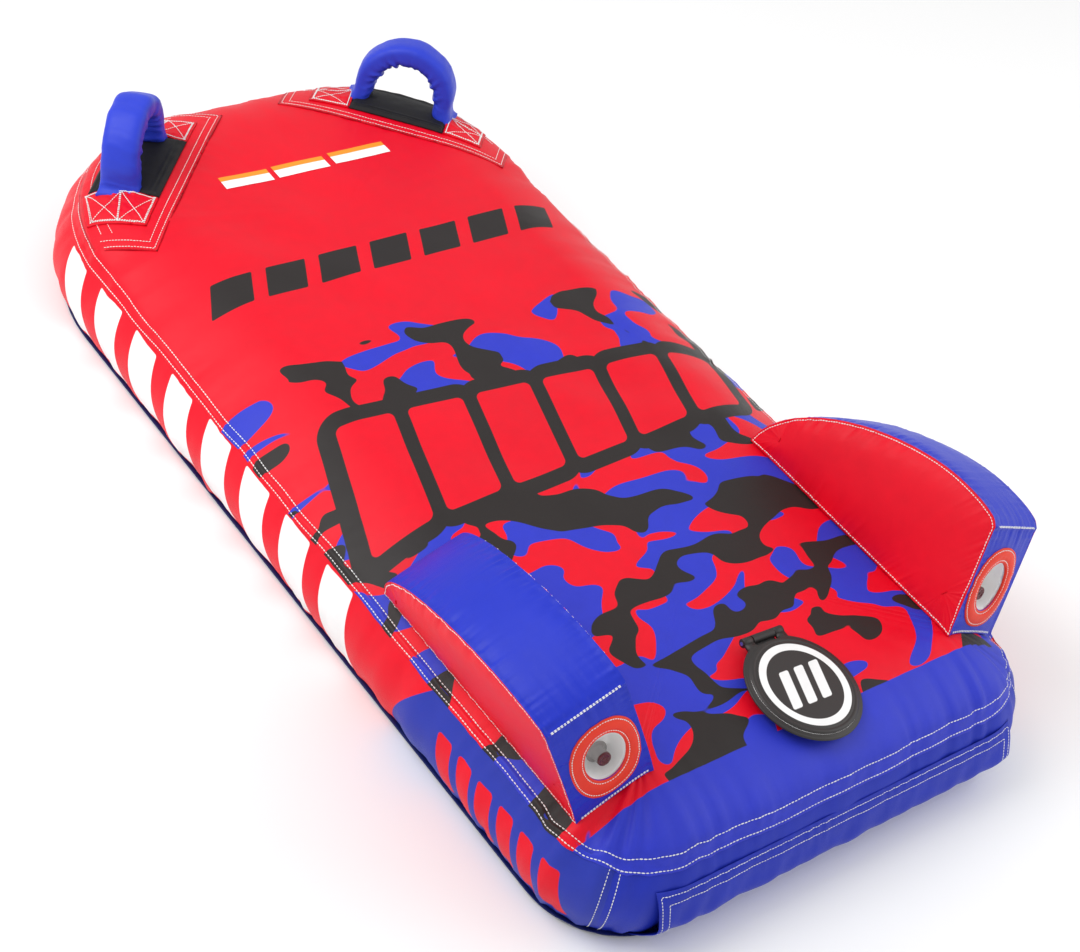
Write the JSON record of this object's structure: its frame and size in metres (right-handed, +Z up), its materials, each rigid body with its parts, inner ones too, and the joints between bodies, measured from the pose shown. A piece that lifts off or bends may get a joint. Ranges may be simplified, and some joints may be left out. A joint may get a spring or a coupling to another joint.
{
  "type": "towable tube",
  "caption": "Inflatable prone tow board with side bolsters at the rear, grab handles at the nose, a lidded inflation valve and a tow link.",
  "frame": {"origin": "on the ground under the middle of the board's flat bottom", "axes": "+Y to the nose, +X to the rider's right, +Z up"},
  "size_m": [0.8286, 1.549, 0.3363],
  "materials": {
    "red_cloth": "coated nylon, satin",
    "blue_cloth": "coated nylon, satin",
    "navy_cloth": "coated nylon, satin",
    "black_foam": "neoprene-faced pad",
    "grip_foam": "foam",
    "webbing": "woven webbing",
    "white_vinyl": "smooth vinyl",
    "port_trim": "coated nylon",
    "clear_vinyl": "clear moulded vinyl",
    "plug_vinyl": "moulded vinyl",
    "valve_rubber": "matt moulded rubber",
    "valve_plastic": "moulded",
    "silicone": "smooth",
    "steel": "satin",
    "brass": "satin",
    "zip_plastic": "moulded",
    "link_plastic": "glass-filled moulding",
    "thread": "polyester sewing thread",
    "label_film": "heat-bonded film"
  },
  "bodies": {
    "board": {"main_bladder": "white_vinyl", "top_panel": "red_cloth", "side_panel_left": "red_cloth", "side_panel_right": "red_cloth", "nose_panel": "red_cloth", "rear_panel": "blue_cloth", "bottom_panel": "navy_cloth", "bottom_binding": "navy_cloth", "drain_grommets": "brass", "handle_reinforcement_left": "red_cloth", "handle_reinforcement_right": "red_cloth", "knuckle_pad_left": "black_foam", "knuckle_pad_right": "black_foam", "handle_patch_front_left": "red_cloth", "handle_patch_front_right": "red_cloth", "handle_patch_rear_left": "red_cloth", "handle_patch_rear_right": "red_cloth", "bolster_inner_panel_left": "red_cloth", "bolster_inner_panel_right": "red_cloth", "bolster_outer_panel_left": "red_cloth", "bolster_outer_panel_right": "red_cloth", "bolster_top_panel_left": "blue_cloth", "bolster_top_panel_right": "blue_cloth", "bolster_end_panel_left": "blue_cloth", "bolster_end_panel_right": "blue_cloth", "bolster_port_ring_left": "port_trim", "bolster_port_ring_right": "port_trim", "bolster_bladder_left": "white_vinyl", "bolster_bladder_right": "white_vinyl", "bolster_valve_left": "clear_vinyl", "bolster_valve_right": "clear_vinyl", "valve_base": "valve_rubber", "valve_collar": "valve_rubber", "valve_hinge_pin": "steel", "zipper_tape": "webbing", "zipper_coil": "zip_plastic", "tow_patch": "navy_cloth", "tow_strap": "webbing"},
    "left_handle": {"handle_web_left": "webbing", "handle_foam_left": "grip_foam", "handle_sleeve_left": "blue_cloth"},
    "right_handle": {"handle_web_right": "webbing", "handle_foam_right": "grip_foam", "handle_sleeve_right": "blue_cloth"},
    "left_plug": {"bolster_plug_left": "plug_vinyl"},
    "right_plug": {"bolster_plug_right": "plug_vinyl"},
    "insert": {"valve_insert": "valve_plastic"},
    "check_flap": {"valve_check_flap": "silicone"},
    "lid": {"valve_lid": "valve_rubber"},
    "slider": {"zipper_slider": "steel"},
    "rear_flap": {"zipper_flap": "blue_cloth"},
    "link": {"tow_link": "link_plastic"}
  },
  "joints": [
    {"name": "left_handle_fold", "type": "hinge", "parent": "board", "child": "left_handle", "pos_m": [-0.23496, 0.60296, 0.17622], "axis": [0.7071, 0.7071, 0], "range_deg": [-30, 35]},
    {"name": "right_handle_fold", "type": "hinge", "parent": "board", "child": "right_handle", "pos_m": [0.23496, 0.60296, 0.17622], "axis": [0.7071, -0.7071, 0], "range_deg": [-30, 35]},
    {"name": "left_plug_pull", "type": "slide", "parent": "board", "child": "left_plug", "axis": [-0.1007, -0.9659, 0.2384], "range_m": [0, 0.03]},
    {"name": "right_plug_pull", "type": "slide", "parent": "board", "child": "right_plug", "axis": [0.1007, -0.9659, 0.2384], "range_m": [0, 0.03]},
    {"name": "insert_turn", "type": "hinge", "parent": "board", "child": "insert", "pos_m": [-0.00138, -0.62556, 0.1762], "axis": [0.0692, -0.1219, 0.9901], "range_deg": [0, 90]},
    {"name": "check_flap_travel", "type": "slide", "parent": "insert", "child": "check_flap", "axis": [-0.0692, 0.1219, -0.9901], "range_m": [0, 0.004], "stiffness_N_per_m": 40},
    {"name": "lid_flip", "type": "hinge", "parent": "board", "child": "lid", "pos_m": [0.00009, -0.54353, 0.1973], "axis": [-0.9976, 0, 0.0698], "range_deg": [0, 150]},
    {"name": "zipper_run", "type": "slide", "parent": "board", "child": "slider", "axis": [1, 0, 0], "range_m": [0, 0.52]},
    {"name": "rear_flap_lift", "type": "hinge", "parent": "board", "child": "rear_flap", "pos_m": [0, -0.75157, 0.1], "axis": [-1, 0, 0], "range_deg": [0, 120]},
    {"name": "link_swing", "type": "hinge", "parent": "board", "child": "link", "pos_m": [0, 0.7702, 0.088], "axis": [1, 0, 0], "range_deg": [0, 130]}
  ]
}
